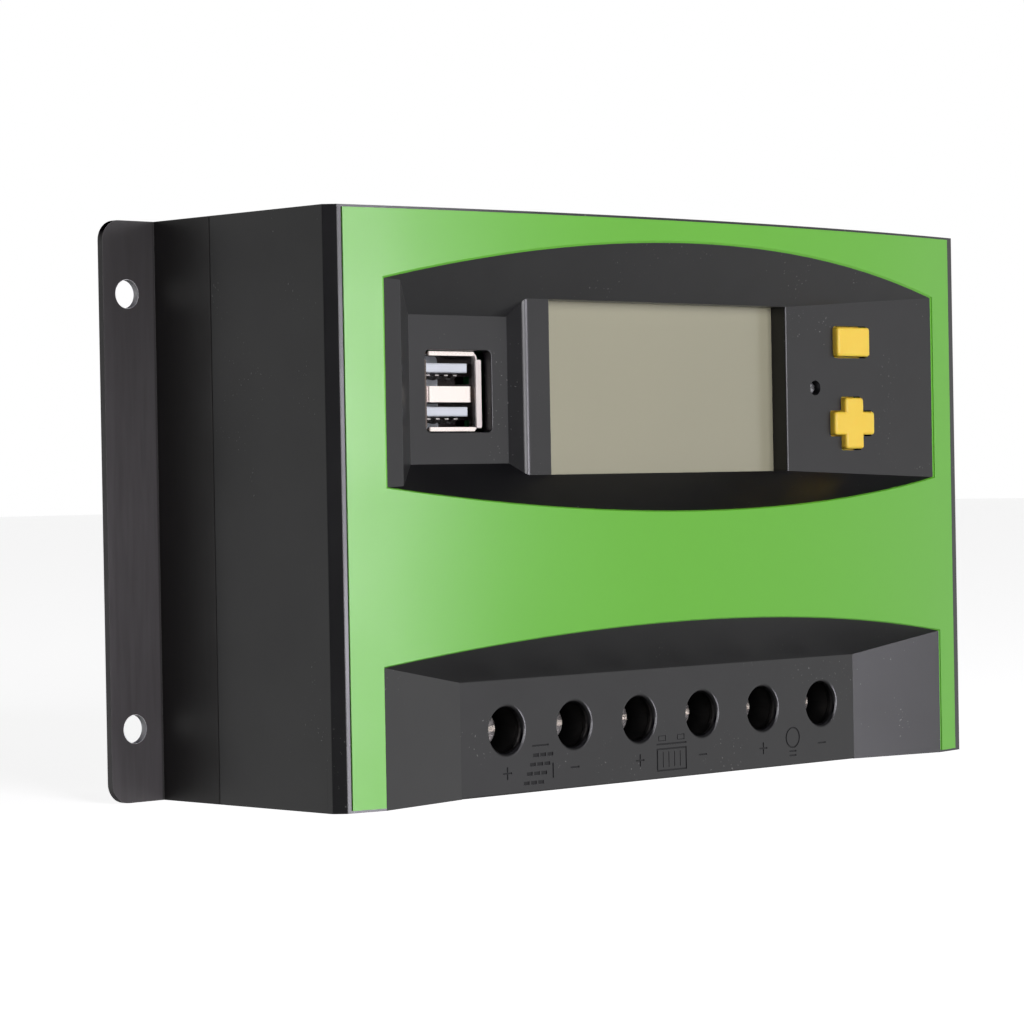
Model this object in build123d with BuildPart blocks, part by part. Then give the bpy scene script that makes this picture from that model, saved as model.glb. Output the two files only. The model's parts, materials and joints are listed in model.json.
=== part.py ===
from build123d import *
import math
import os

# Solar charge controller for a wall. +X is to the right, -Y is the front and +Z is up.
# The origin is at the middle of the four wall holes, on the wall plane. All sizes are in millimetres.

# ---------------------------------------------------------------- case
HEIGHT = 114.0
BODY_WIDTH = 185.6
SIDE_DEPTH = 54.0  # from the wall to the front edges of the side walls
BOW = 8.1  # how far the middle of the front stands forward of its side edges
CORNER = 2.0  # 45 degree corner between a side wall and the front
SEAM_DEPTH = 35.1  # from the front side edges to the seam with the metal pan
WALL = 2.4
SKIN = 2.0  # wall thickness round the two bays
SOFT_EDGE = 0.4  # rounding of the moulding's outside edges
SOFT_RIM = 0.2
BAR_ROUND = 2.0  # the bar beside the display has a much rounder edge
ENGRAVING = 0.12
PLATE = 0.3  # coloured front plate
PLATE_EDGE_LEFT = 0.9
PLATE_EDGE_RIGHT = 2.3
PLATE_EDGE_TOP = 0.5
BOTTOM = -HEIGHT / 2
SIDE = BODY_WIDTH / 2
FRONT_EDGE = SIDE - CORNER

# ---------------------------------------------------------------- rear pan
FLANGE = 12.75
SHEET = 1.5
FLANGE_CORNER = 4.0
WALL_HOLE_R = 2.8
WALL_HOLE_X = 99.75
WALL_HOLE_Z = 42.6
INNER_BEND = 0.6
OUTER_BEND = 1.2

# ---------------------------------------------------------------- display bay
BAY_HALF = 81.4
PANEL_Z0 = 5.8  # lower edge of the flat display frame
PANEL_Z1 = 40.5  # upper edge
PANEL_DEPTH = 0.4
TOP_SLOPE = 1.37  # rise of the upper slope for each millimetre forward
LOW_SLOPE = 0.91
WINDOW_HALF = 35.1
WINDOW_COLLAR = 4.0  # depth of the display window down to the glass
BAR_LEFT = -41.8
USB_PANEL_X0 = -70.6
USB_PANEL_X1 = -44.5
USB_PANEL_DEPTH = 3.0
LEFT_BAR_EDGE = -76.6
END_DEPTH = -1.7  # depth of the slanted panels where they meet the front

# ---------------------------------------------------------------- terminal bay
TERMINAL_HALF = 82.6
FACE_HALF = 58.5
FACE_DEPTH = 3.3
FACE_TOP = -34.3
TERMINAL_SLOPE = 0.885
TERMINAL_END_DEPTH = -1.5
WAYS = 6
PITCH = 18.8
ROW_X = 0.9
ROW_Z = -44.3
ACCESS_R = 4.55
ACCESS_ROUND = 0.8
CABLE_R = 3.7
CABLE_DEPTH = 26.4

# ---------------------------------------------------------------- USB socket
USB_X = -57.6
USB_Z = 22.3
USB_WINDOW = (17.6, 15.9)
USB_WINDOW_CORNER = 1.2
USB_SHELL = (14.5, 15.5)
USB_SHEET = 0.35
TONGUE_Z = (26.9, 18.4)
PARTITION_Z = 21.75
PARTITION = 3.1

# ---------------------------------------------------------------- buttons and boards
BUTTON_X = 55.0
MENU_Z = 33.3
PLUS_Z = 15.8
MENU_CAP = (10.1, 6.3)
PLUS_ARMS = ((12.4, 5.0), (5.6, 11.0))
CAP_ROUND = 0.6  # rounding of a button's face edges
BUTTON_PROUD = 1.3
BUTTON_GAP = 0.3
LED_X = 44.0
LED_Z = 23.4
LED_HOLE_R = 1.6
BOARD = 1.6
DISPLAY_BOARD_DEPTH = 12.2
USB_BOARD_DEPTH = 22.4
MAIN_BOARD_DEPTH = 28.0
M3_R = 1.45
M3_HOLE_R = 1.5
M3_CLEAR_R = 1.75

os.makedirs("parts", exist_ok=True)


def at(depth):
    """Y of a point that lies depth behind the front edges of the side walls."""
    return -SIDE_DEPTH + depth


def facing(depth):
    """Upright plane at that depth, facing the front, with its own x along X and y along Z."""
    return Plane.XZ.offset(-at(depth))


SEAM = at(SEAM_DEPTH)
WAY_X = [ROW_X + PITCH * (way - (WAYS - 1) / 2) for way in range(WAYS)]
IN_FRONT = at(-30.0)
BEHIND = at(SEAM_DEPTH + 20.0)

# The button panel is flat and turned a little towards the display.
PANEL_TURN = math.atan2(PANEL_DEPTH - END_DEPTH, BAY_HALF - WINDOW_HALF)


def panel_plane(x, z, sunk=0.0):
    """Plane in the button panel at x, z, facing out of it, moved in by sunk."""
    depth = PANEL_DEPTH - math.tan(PANEL_TURN) * (x - WINDOW_HALF)
    across = (math.cos(PANEL_TURN), -math.sin(PANEL_TURN), 0)
    out = (-math.sin(PANEL_TURN), -math.cos(PANEL_TURN), 0)
    return Plane(origin=(x, at(depth), z), x_dir=across, z_dir=out).offset(-sunk)


def case_plan(inset, back):
    """Plan of the case moved in by inset, from its bowed front back to the given Y."""
    slant = inset * (math.sqrt(2) - 1)
    side = SIDE - inset
    edge = FRONT_EDGE - slant
    front = at(inset)
    shoulder = at(CORNER + slant)
    with BuildSketch() as plan:
        with BuildLine():
            Polyline(
                (-edge, front),
                (-side, shoulder),
                (-side, back),
                (side, back),
                (side, shoulder),
                (edge, front),
            )
            ThreePointArc((edge, front), (0, front - BOW), (-edge, front))
        make_face()
    return plan.sketch


def bay_space(floor, profile, skin):
    """The space of a bay, in front of its floor plan and inside its side profile, grown by skin."""
    with BuildPart() as space:
        with BuildSketch(Plane.XY.offset(-HEIGHT)):
            with BuildLine():
                Polyline(*floor, close=True)
            make_face()
            if skin:
                offset(amount=skin, kind=Kind.INTERSECTION)
        extrude(amount=2 * HEIGHT)
        with BuildSketch(Plane.YZ.offset(-BODY_WIDTH)):
            with BuildLine():
                Polyline(*profile, close=True)
            make_face()
            if skin:
                offset(amount=skin, kind=Kind.INTERSECTION)
        extrude(amount=2 * BODY_WIDTH, mode=Mode.INTERSECT)
    return space.part


display_floor = [
    (-BAY_HALF, IN_FRONT),
    (-BAY_HALF, at(END_DEPTH)),
    (LEFT_BAR_EDGE, at(END_DEPTH + 0.2)),
    (USB_PANEL_X0, at(USB_PANEL_DEPTH)),
    (USB_PANEL_X1, at(USB_PANEL_DEPTH)),
    (BAR_LEFT, at(PANEL_DEPTH)),
    (WINDOW_HALF, at(PANEL_DEPTH)),
    (BAY_HALF, at(END_DEPTH)),
    (BAY_HALF, IN_FRONT),
]
panel_y = at(PANEL_DEPTH)
deep_y = at(10.0)
display_profile = [
    (IN_FRONT, PANEL_Z0 - LOW_SLOPE * (panel_y - IN_FRONT)),
    (deep_y, PANEL_Z0 + LOW_SLOPE * (deep_y - panel_y)),
    (deep_y, PANEL_Z1 - TOP_SLOPE * (deep_y - panel_y)),
    (IN_FRONT, PANEL_Z1 + TOP_SLOPE * (panel_y - IN_FRONT)),
]
terminal_floor = [
    (-TERMINAL_HALF, IN_FRONT),
    (-TERMINAL_HALF, at(TERMINAL_END_DEPTH)),
    (-FACE_HALF, at(FACE_DEPTH)),
    (FACE_HALF, at(FACE_DEPTH)),
    (TERMINAL_HALF, at(TERMINAL_END_DEPTH)),
    (TERMINAL_HALF, IN_FRONT),
]
terminal_profile = [
    (IN_FRONT, 2 * BOTTOM),
    (deep_y, 2 * BOTTOM),
    (deep_y, FACE_TOP - TERMINAL_SLOPE * (deep_y - at(FACE_DEPTH))),
    (IN_FRONT, FACE_TOP + TERMINAL_SLOPE * (at(FACE_DEPTH) - IN_FRONT)),
]
display_bay = bay_space(display_floor, display_profile, 0)
terminal_bay = bay_space(terminal_floor, terminal_profile, 0)
display_bay_wall = bay_space(display_floor, display_profile, SKIN)
terminal_bay_wall = bay_space(terminal_floor, terminal_profile, SKIN)

# ---------------------------------------------------------------- rear pan, a folded sheet
side_screws = [(x, z) for x in (-87.0, 87.0) for z in (-50.0, 50.0)]
standoff_spots = [(x, z) for x in (-76.0, 76.0) for z in (-27.0, 46.0)]
mosfet_x = [-66.5 + 19.0 * number for number in range(8)]
MOSFET_Z = 8.0
MOSFET_SCREW_Z = 14.3

with BuildPart() as rear_pan:
    with BuildSketch(Plane.XY.offset(BOTTOM)):
        with BuildLine():
            Polyline(
                (-SIDE - FLANGE, 0),
                (-SIDE - FLANGE, -SHEET),
                (-SIDE, -SHEET),
                (-SIDE, SEAM),
                (SIDE, SEAM),
                (SIDE, -SHEET),
                (SIDE + FLANGE, -SHEET),
                (SIDE + FLANGE, 0),
                (SIDE - SHEET, 0),
                (SIDE - SHEET, SEAM + SHEET),
                (-SIDE + SHEET, SEAM + SHEET),
                (-SIDE + SHEET, 0),
                close=True,
            )
        make_face()
    extrude(amount=HEIGHT)
    bends = rear_pan.edges().filter_by(Axis.Z)
    fillet(bends.filter_by_position(Axis.Y, SEAM - 0.1, SEAM + 0.1), radius=INNER_BEND)
    wall_bends = bends.filter_by_position(Axis.Y, -0.1, 0.1).filter_by_position(Axis.X, -SIDE, SIDE)
    fillet(wall_bends, radius=OUTER_BEND)
    outer_corners = rear_pan.edges().filter_by(Axis.Y).filter_by_position(Axis.Y, -SHEET, 0)
    fillet(outer_corners.group_by(Axis.X)[0] + outer_corners.group_by(Axis.X)[-1], radius=FLANGE_CORNER)
    with BuildSketch(Plane.XZ.offset(SHEET + 1)):
        with GridLocations(2 * WALL_HOLE_X, 2 * WALL_HOLE_Z, 2, 2):
            Circle(WALL_HOLE_R)
    extrude(amount=-SHEET - 2, mode=Mode.SUBTRACT)
    with BuildSketch(facing(SEAM_DEPTH - 1)):
        with Locations(*side_screws):
            Circle(M3_CLEAR_R)
        with Locations(*[(x, MOSFET_SCREW_Z) for x in mosfet_x]):
            Circle(M3_HOLE_R)
    extrude(amount=-SHEET - 2, mode=Mode.SUBTRACT)
rear_pan.part.label = "rear_pan"
export_step(rear_pan.part, "parts/rear_pan.step")

# ---------------------------------------------------------------- housing
display_posts = [(-43.2, 5.4), (-43.2, 41.0), (78.5, 6.0), (78.5, 40.3)]
usb_posts = [(-69.0, 35.6), (-69.0, 9.0), (-49.2, 35.6)]
POST_R = 2.5
POST_HOLE_R = 1.05
BOSS_R = 4.2

# Space inside the housing: the inset case less both bays with their walls.
with BuildPart() as housing_inside:
    with BuildSketch(Plane.XY.offset(BOTTOM + WALL)):
        add(case_plan(WALL, BEHIND))
    extrude(amount=HEIGHT - 2 * WALL)
    add(display_bay_wall, mode=Mode.SUBTRACT)
    add(terminal_bay_wall, mode=Mode.SUBTRACT)

NEAR = 0.06  # how close an edge lies to the place by which it is chosen


def upright_edges(part, places):
    """Upright edges of the part that stand at the given x and depth."""
    found = []
    for edge in part.edges().filter_by(Axis.Z):
        middle = edge.center()
        if any(abs(middle.X - x) < NEAR and abs(middle.Y - at(depth)) < NEAR for x, depth in places):
            found.append(edge)
    return found


def level_edges(part, heights):
    """Edges along X that lie in the terminal face at the given heights."""
    found = []
    for edge in part.edges().filter_by(Axis.X):
        middle = edge.center()
        if abs(middle.Y - at(FACE_DEPTH)) < NEAR and any(abs(middle.Z - z) < NEAR for z in heights):
            found.append(edge)
    return found


def rim_edges(part, depth, centre, size):
    """Edges round a window of the given size in an upright face at that depth."""
    found = []
    for edge in part.edges():
        middle = edge.center()
        beside = abs(middle.X - centre[0]) < size[0] / 2 + NEAR
        level = abs(middle.Z - centre[1]) < size[1] / 2 + NEAR
        if beside and level and abs(middle.Y - at(depth)) < NEAR:
            found.append(edge)
    return found


soft_uprights = [
    (LEFT_BAR_EDGE, END_DEPTH + 0.2),
    (-WINDOW_HALF, PANEL_DEPTH),
    (WINDOW_HALF, PANEL_DEPTH),
    (-FACE_HALF, FACE_DEPTH),
    (FACE_HALF, FACE_DEPTH),
    (-SIDE, CORNER),
    (SIDE, CORNER),
    (-FRONT_EDGE, 0),
    (FRONT_EDGE, 0),
]

mark_z = BOTTOM + 4.2
STROKE = 0.4
SIGN = 2.5
with BuildSketch(facing(FACE_DEPTH)) as engraved_marks:
    # Plus and minus signs under the six access holes.
    for way, x in enumerate(WAY_X):
        with Locations((x, mark_z)):
            Rectangle(SIGN, STROKE)
            if way % 2 == 0:
                Rectangle(STROKE, SIGN)
    # Solar panel: a leaning grid of cells under a short bar, with a foot beside it.
    panel_x = WAY_X[0] + 5.2
    for row in range(4):
        for column in range(3):
            with Locations((panel_x + 2.0 * column + 0.9 * row, BOTTOM + 1.9 + 1.8 * row)):
                Rectangle(1.6, 0.75)
    with Locations((panel_x + 4.0, BOTTOM + 9.2)):
        Rectangle(4.6, STROKE)
    with Locations((panel_x + 7.4, BOTTOM + 4.0)):
        Rectangle(STROKE, 3.0)
    # Battery: a box with cells inside, a bar over it and two posts.
    battery_x = (WAY_X[2] + WAY_X[3]) / 2
    with Locations((battery_x, BOTTOM + 3.9)):
        Rectangle(9.0, 4.8)
        Rectangle(9.0 - 2 * STROKE, 4.8 - 2 * STROKE, mode=Mode.SUBTRACT)
        with GridLocations(1.7, 1, 4, 1):
            Rectangle(STROKE / 2, 3.2)
    with Locations((battery_x, BOTTOM + 7.1)):
        Rectangle(9.0, STROKE)
    with Locations(*[(battery_x + shift, BOTTOM + 8.3) for shift in (-2.8, 2.8)]):
        Rectangle(2.2, 1.2)
        Rectangle(2.2 - STROKE, 1.2 - STROKE, mode=Mode.SUBTRACT)
    # Lamp: a round bulb over a short cap.
    with Locations(((WAY_X[4] + WAY_X[5]) / 2, BOTTOM + 5.9)):
        Circle(2.3)
        Circle(2.3 - STROKE, mode=Mode.SUBTRACT)
    with Locations(*[((WAY_X[4] + WAY_X[5]) / 2, BOTTOM + height) for height in (3.0, 2.1)]):
        Rectangle(2.2, STROKE)

with BuildPart() as housing_shell:
    with BuildSketch(Plane.XY.offset(BOTTOM)):
        add(case_plan(0, SEAM))
    extrude(amount=HEIGHT)
    add(housing_inside.part, mode=Mode.SUBTRACT)
    # Four screw bosses in the corners, and posts for the two small boards.
    with BuildSketch(facing(SEAM_DEPTH)):
        with Locations(*side_screws):
            Circle(BOSS_R)
    extrude(amount=SEAM_DEPTH - CORNER)
    with BuildSketch(facing(DISPLAY_BOARD_DEPTH)):
        with Locations(*display_posts):
            Circle(POST_R)
    extrude(amount=DISPLAY_BOARD_DEPTH + 1.5)
    with BuildSketch(facing(USB_BOARD_DEPTH)):
        with Locations(*usb_posts):
            Circle(POST_R)
    extrude(amount=USB_BOARD_DEPTH)
    # Collar behind the display window.
    with BuildSketch(facing(PANEL_DEPTH + WINDOW_COLLAR)):
        with Locations((0, (PANEL_Z0 + PANEL_Z1) / 2)):
            Rectangle(2 * WINDOW_HALF + 5, PANEL_Z1 - PANEL_Z0 + 5)
    extrude(amount=WINDOW_COLLAR + 1)
    add(display_bay, mode=Mode.SUBTRACT)
    add(terminal_bay, mode=Mode.SUBTRACT)
    # Windows and holes in the front.
    with BuildSketch(facing(PANEL_DEPTH - 5)):
        with Locations((0, (PANEL_Z0 + PANEL_Z1) / 2)):
            Rectangle(2 * WINDOW_HALF, PANEL_Z1 - PANEL_Z0)
    extrude(amount=-12, mode=Mode.SUBTRACT)
    with BuildSketch(facing(USB_PANEL_DEPTH - 2)):
        with Locations((USB_X, USB_Z)):
            RectangleRounded(*USB_WINDOW, radius=USB_WINDOW_CORNER)
    extrude(amount=-SKIN - 3, mode=Mode.SUBTRACT)
    with BuildSketch(panel_plane(BUTTON_X, MENU_Z, -1)):
        RectangleRounded(MENU_CAP[0] + 2 * BUTTON_GAP, MENU_CAP[1] + 2 * BUTTON_GAP, radius=0.8)
    extrude(amount=-SKIN - 2, mode=Mode.SUBTRACT)
    with BuildSketch(panel_plane(BUTTON_X, PLUS_Z, -1)):
        for width, height in PLUS_ARMS:
            RectangleRounded(width + 2 * BUTTON_GAP, height + 2 * BUTTON_GAP, radius=0.5)
    extrude(amount=-SKIN - 2, mode=Mode.SUBTRACT)
    with BuildSketch(panel_plane(LED_X, LED_Z, -1)):
        Circle(LED_HOLE_R)
    extrude(amount=-SKIN - 2, mode=Mode.SUBTRACT)
    with BuildSketch(facing(FACE_DEPTH - 1)):
        with Locations(*[(x, ROW_Z) for x in WAY_X]):
            Circle(ACCESS_R)
    extrude(amount=-SKIN - 2, mode=Mode.SUBTRACT)
    rims = housing_shell.edges().filter_by(GeomType.CIRCLE)
    rims = rims.filter_by_position(Axis.Y, at(FACE_DEPTH) - 0.05, at(FACE_DEPTH) + 0.05)
    fillet(rims.filter_by(lambda rim: abs(rim.radius - ACCESS_R) < 0.01), radius=ACCESS_ROUND)
    # Soft outside edges: the bars and windows of the display bay, the terminal face and the case itself.
    edges_to_round = upright_edges(housing_shell.part, soft_uprights)
    edges_to_round += level_edges(housing_shell.part, (FACE_TOP, BOTTOM))
    fillet(edges_to_round, radius=SOFT_EDGE)
    fillet(upright_edges(housing_shell.part, [(BAR_LEFT, PANEL_DEPTH)]), radius=BAR_ROUND)
    fillet(rim_edges(housing_shell.part, USB_PANEL_DEPTH, (USB_X, USB_Z), USB_WINDOW), radius=SOFT_RIM)
    extrude(engraved_marks.sketch, amount=-ENGRAVING, mode=Mode.SUBTRACT)
    # Cable holes in the underside.
    with BuildSketch(Plane.XY.offset(BOTTOM - 1)):
        with Locations(*[(x, at(CABLE_DEPTH)) for x in WAY_X]):
            Circle(CABLE_R)
    extrude(amount=WALL + 2, mode=Mode.SUBTRACT)
    # Screw holes in the bosses and posts, from behind.
    with BuildSketch(facing(SEAM_DEPTH)):
        with Locations(*side_screws):
            Circle(M3_HOLE_R)
    extrude(amount=14, mode=Mode.SUBTRACT)
    with BuildSketch(facing(DISPLAY_BOARD_DEPTH)):
        with Locations(*display_posts):
            Circle(POST_HOLE_R)
    extrude(amount=6, mode=Mode.SUBTRACT)
    with BuildSketch(facing(USB_BOARD_DEPTH)):
        with Locations(*usb_posts):
            Circle(POST_HOLE_R)
    extrude(amount=6, mode=Mode.SUBTRACT)
housing_shell.part.label = "housing_shell"
export_step(housing_shell.part, "parts/housing_shell.step")

# ---------------------------------------------------------------- coloured front plate
with BuildPart() as face_plate:
    with BuildSketch(Plane.XY.offset(BOTTOM + PLATE_EDGE_TOP)):
        with BuildLine():
            bow_line = ThreePointArc((FRONT_EDGE, at(0)), (0, at(0) - BOW), (-FRONT_EDGE, at(0)))
            Line(bow_line @ 1, bow_line @ 1 - (0, PLATE))
            outer_line = ThreePointArc(
                (-FRONT_EDGE, at(-PLATE)),
                (0, at(-PLATE) - BOW),
                (FRONT_EDGE, at(-PLATE)),
            )
            Line(outer_line @ 1, bow_line @ 0)
        make_face()
    extrude(amount=HEIGHT - 2 * PLATE_EDGE_TOP)
    split(bisect_by=Plane.YZ.offset(-FRONT_EDGE + PLATE_EDGE_LEFT), keep=Keep.TOP)
    split(bisect_by=Plane.YZ.offset(FRONT_EDGE - PLATE_EDGE_RIGHT), keep=Keep.BOTTOM)
    add(display_bay, mode=Mode.SUBTRACT)
    add(terminal_bay, mode=Mode.SUBTRACT)
face_plate.part.label = "face_plate"
export_step(face_plate.part, "parts/face_plate.step")

# ---------------------------------------------------------------- display
GLASS_DEPTH = PANEL_DEPTH + WINDOW_COLLAR
GLASS = 2.8
GLASS_SIZE = (75.0, 37.0)
display_z = (PANEL_Z0 + PANEL_Z1) / 2
BACKLIGHT = 3.2

with BuildPart() as lcd_glass:
    with BuildSketch(facing(GLASS_DEPTH)):
        with Locations((0, display_z)):
            Rectangle(*GLASS_SIZE)
    extrude(amount=-GLASS)
lcd_glass.part.label = "lcd_glass"
export_step(lcd_glass.part, "parts/lcd_glass.step")

with BuildPart() as lcd_backlight:
    with BuildSketch(facing(GLASS_DEPTH + GLASS)):
        with Locations((0, display_z + 2)):
            RectangleRounded(72, 31, radius=1)
    extrude(amount=-BACKLIGHT)
lcd_backlight.part.label = "lcd_backlight"
export_step(lcd_backlight.part, "parts/lcd_backlight.step")

with BuildPart() as lcd_contact_strip:
    with BuildSketch(facing(GLASS_DEPTH + GLASS)):
        with Locations((0, display_z - 16)):
            Rectangle(66, 2.4)
    extrude(amount=-(DISPLAY_BOARD_DEPTH - GLASS_DEPTH - GLASS))
lcd_contact_strip.part.label = "lcd_contact_strip"
export_step(lcd_contact_strip.part, "parts/lcd_contact_strip.step")

with BuildPart() as lcd_holder:
    with BuildSketch(facing(GLASS_DEPTH)):
        with Locations((0, display_z)):
            RectangleRounded(GLASS_SIZE[0] + 4, GLASS_SIZE[1] + 4, radius=1.5)
            Rectangle(GLASS_SIZE[0] + 0.2, GLASS_SIZE[1] + 0.2, mode=Mode.SUBTRACT)
    extrude(amount=-(DISPLAY_BOARD_DEPTH - GLASS_DEPTH))
    # Ledges that carry the backlight from behind, at the top and at both ends.
    with BuildSketch(facing(GLASS_DEPTH + GLASS + BACKLIGHT)):
        with Locations((0, display_z)):
            Rectangle(GLASS_SIZE[0] + 1, GLASS_SIZE[1] + 1)
        with Locations((0, display_z - 3)):
            Rectangle(68, GLASS_SIZE[1] - 6.2, mode=Mode.SUBTRACT)
    extrude(amount=-(DISPLAY_BOARD_DEPTH - GLASS_DEPTH - GLASS - BACKLIGHT))
lcd_holder.part.label = "lcd_holder"
export_step(lcd_holder.part, "parts/lcd_holder.step")

with BuildPart() as display_board:
    with BuildSketch(facing(DISPLAY_BOARD_DEPTH)):
        with Locations((18.3, display_z)):
            RectangleRounded(129, 41.4, radius=1)
        with Locations(*display_posts):
            Circle(1.3, mode=Mode.SUBTRACT)
    extrude(amount=-BOARD)
display_board.part.label = "display_board"
export_step(display_board.part, "parts/display_board.step")


def small_screws(spots, depth, shank_r, shank_length, head_r, head_height, towards=1):
    """Pan-head screws with their seats at the given depth; towards=1 puts the heads behind."""
    with BuildPart() as screws:
        with BuildSketch(facing(depth)):
            with Locations(*spots):
                Circle(head_r)
        extrude(amount=-towards * head_height)
        with BuildSketch(facing(depth)):
            with Locations(*spots):
                Circle(shank_r)
        extrude(amount=towards * shank_length)
        with BuildSketch(facing(depth + towards * head_height)):
            with Locations(*spots):
                Rectangle(head_r * 1.1, head_r * 0.28)
                Rectangle(head_r * 0.28, head_r * 1.1)
        extrude(amount=towards * head_height * 0.5, mode=Mode.SUBTRACT)
    return screws


display_screws = small_screws(display_posts, DISPLAY_BOARD_DEPTH + BOARD, 1.0, 6.5, 2.0, 1.5)
display_screws.part.label = "display_screws"
export_step(display_screws.part, "parts/display_screws.step")


def flat_chip(plane, spots, body, height, pins, pin_pitch, four_sides):
    """Surface-mount chips standing on the plane: a body with rows of leads on two or four sides."""
    with BuildPart() as chips:
        with BuildSketch(plane.offset(0.1)):
            with Locations(*spots):
                Rectangle(body, body)
        extrude(amount=height)
        with BuildSketch(plane):
            for x, y in spots:
                with Locations((x, y)):
                    with GridLocations(body + 1.2, pin_pitch, 2, pins):
                        Rectangle(1.4, pin_pitch * 0.45)
                    if four_sides:
                        with GridLocations(pin_pitch, body + 1.2, pins, 2):
                            Rectangle(pin_pitch * 0.45, 1.4)
        extrude(amount=0.35)
    return chips


# Planes on the faces of the boards, each facing away from its board.
main_front = facing(MAIN_BOARD_DEPTH)
display_back = Plane(origin=(0, at(DISPLAY_BOARD_DEPTH + BOARD), 0), x_dir=(-1, 0, 0), z_dir=(0, 1, 0))

display_chip = flat_chip(display_back, [(20, 24)], 10, 1.4, 10, 0.8, True)
display_chip.part.label = "display_chip"
export_step(display_chip.part, "parts/display_chip.step")

# ---------------------------------------------------------------- status lamp
with BuildPart() as status_led:
    led_plane = panel_plane(LED_X, LED_Z, SKIN + 0.3)
    with BuildSketch(led_plane):
        Circle(1.95)
    extrude(amount=-0.9)
    with BuildSketch(led_plane.offset(-0.9)):
        Circle(1.5)
    extrude(amount=2.2)
    fillet(status_led.edges().filter_by(GeomType.CIRCLE).sort_by(Axis.Y)[0], radius=1.2)
    with BuildSketch(facing(DISPLAY_BOARD_DEPTH)):
        with Locations((LED_X - 1.0, LED_Z), (LED_X + 1.0, LED_Z)):
            Rectangle(0.5, 0.5)
    extrude(amount=DISPLAY_BOARD_DEPTH - 3.0)
status_led.part.label = "status_led"
export_step(status_led.part, "parts/status_led.step")

# ---------------------------------------------------------------- buttons, their switches and plungers
SWITCH_DEPTH = 8.7
SWITCH_X = BUTTON_X + 0.45  # the plungers lean with the slanted panel, so the switches sit further out
SWITCH_SIDE = 6.0
PLUNGER_R = 1.7
PLUNGER_LENGTH = 3.0
PLUNGER_GAP = 0.5  # room around a plunger in its switch
CAP_CORNER = 0.7
BUTTON_FLANGE = (1.2, 0.9)  # how far a button's retaining flange stands out, and its thickness
STEM_R = 2.2
STEM_END = 7.4  # distance from the panel face to the end of a button's stem
FLANGE_BACK = SKIN + 0.15  # distance from the panel face to the front of a button's flange


def make_button(z, arms):
    """A button cap with a retaining flange and a stem; arms are the rectangles of its outline."""
    stands_out, flange_thick = BUTTON_FLANGE
    with BuildPart() as button:
        with BuildSketch(panel_plane(BUTTON_X, z, -BUTTON_PROUD)):
            for width, height in arms:
                RectangleRounded(width, height, radius=CAP_CORNER)
        extrude(amount=-BUTTON_PROUD - FLANGE_BACK - flange_thick)
        face_edges = button.faces().filter_by(lambda face: face.is_planar).sort_by(Axis.Y)[0].edges()
        fillet(face_edges, radius=CAP_ROUND)
        with BuildSketch(panel_plane(BUTTON_X, z, FLANGE_BACK)):
            for width, height in arms:
                RectangleRounded(width + 2 * stands_out, height + 2 * stands_out, radius=CAP_CORNER)
        extrude(amount=-flange_thick)
        with BuildSketch(panel_plane(BUTTON_X, z, FLANGE_BACK + flange_thick)):
            Circle(STEM_R)
        extrude(amount=-(STEM_END - FLANGE_BACK - flange_thick))
    return button


button_menu = make_button(MENU_Z, [MENU_CAP])
button_menu.part.label = "button_menu"
export_step(button_menu.part, "parts/button_menu.step")

button_plus = make_button(PLUS_Z, PLUS_ARMS)
button_plus.part.label = "button_plus"
export_step(button_plus.part, "parts/button_plus.step")

for name, z in (("menu", MENU_Z), ("plus", PLUS_Z)):
    with BuildPart() as plunger:
        with BuildSketch(panel_plane(BUTTON_X, z, STEM_END)):
            Circle(PLUNGER_R)
        extrude(amount=-PLUNGER_LENGTH)
    plunger.part.label = f"{name}_switch_plunger"
    export_step(plunger.part, f"parts/{name}_switch_plunger.step")

with BuildPart() as tactile_switches:
    with BuildSketch(facing(DISPLAY_BOARD_DEPTH)):
        with Locations((SWITCH_X, MENU_Z), (SWITCH_X, PLUS_Z)):
            Rectangle(SWITCH_SIDE, SWITCH_SIDE)
    extrude(amount=DISPLAY_BOARD_DEPTH - SWITCH_DEPTH)
    with BuildSketch(facing(SWITCH_DEPTH)):
        with Locations((SWITCH_X, MENU_Z), (SWITCH_X, PLUS_Z)):
            Circle(PLUNGER_R + PLUNGER_GAP)
    extrude(amount=-PLUNGER_LENGTH, mode=Mode.SUBTRACT)
    # Four bent leads on each switch.
    with BuildSketch(facing(DISPLAY_BOARD_DEPTH)):
        for z in (MENU_Z, PLUS_Z):
            with Locations((SWITCH_X, z)):
                with GridLocations(6.8, 4.5, 2, 2):
                    Rectangle(0.9, 0.7)
    extrude(amount=1.6)
tactile_switches.part.label = "tactile_switches"
export_step(tactile_switches.part, "parts/tactile_switches.step")

# ---------------------------------------------------------------- twin USB socket
LIP_DEPTH = USB_PANEL_DEPTH + SKIN + 0.1  # the turned-out lips lie just behind the window
SHELL_DEPTH = LIP_DEPTH + USB_SHEET
SHELL_END = 21.0
SIDE_LIP = (6.6, 8.0)  # inner and outer edge of a side lip, from the middle of the shell
TOP_LIP = (6.95, 7.75)
INNER = (USB_SHELL[0] - 2 * USB_SHEET, USB_SHELL[1] - 2 * USB_SHEET)
NOSE = 1.9  # length of the partition's rounded front
NOSE_SHIFT = 0.55  # the front is a little short on the right
TONGUE = (11.4, 1.9)
TONGUE_DEPTH = 6.5
INSULATOR_DEPTH = 16.5
CONTACT_PITCH = 2.4
CONTACT_WIDTH = 1.0


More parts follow.
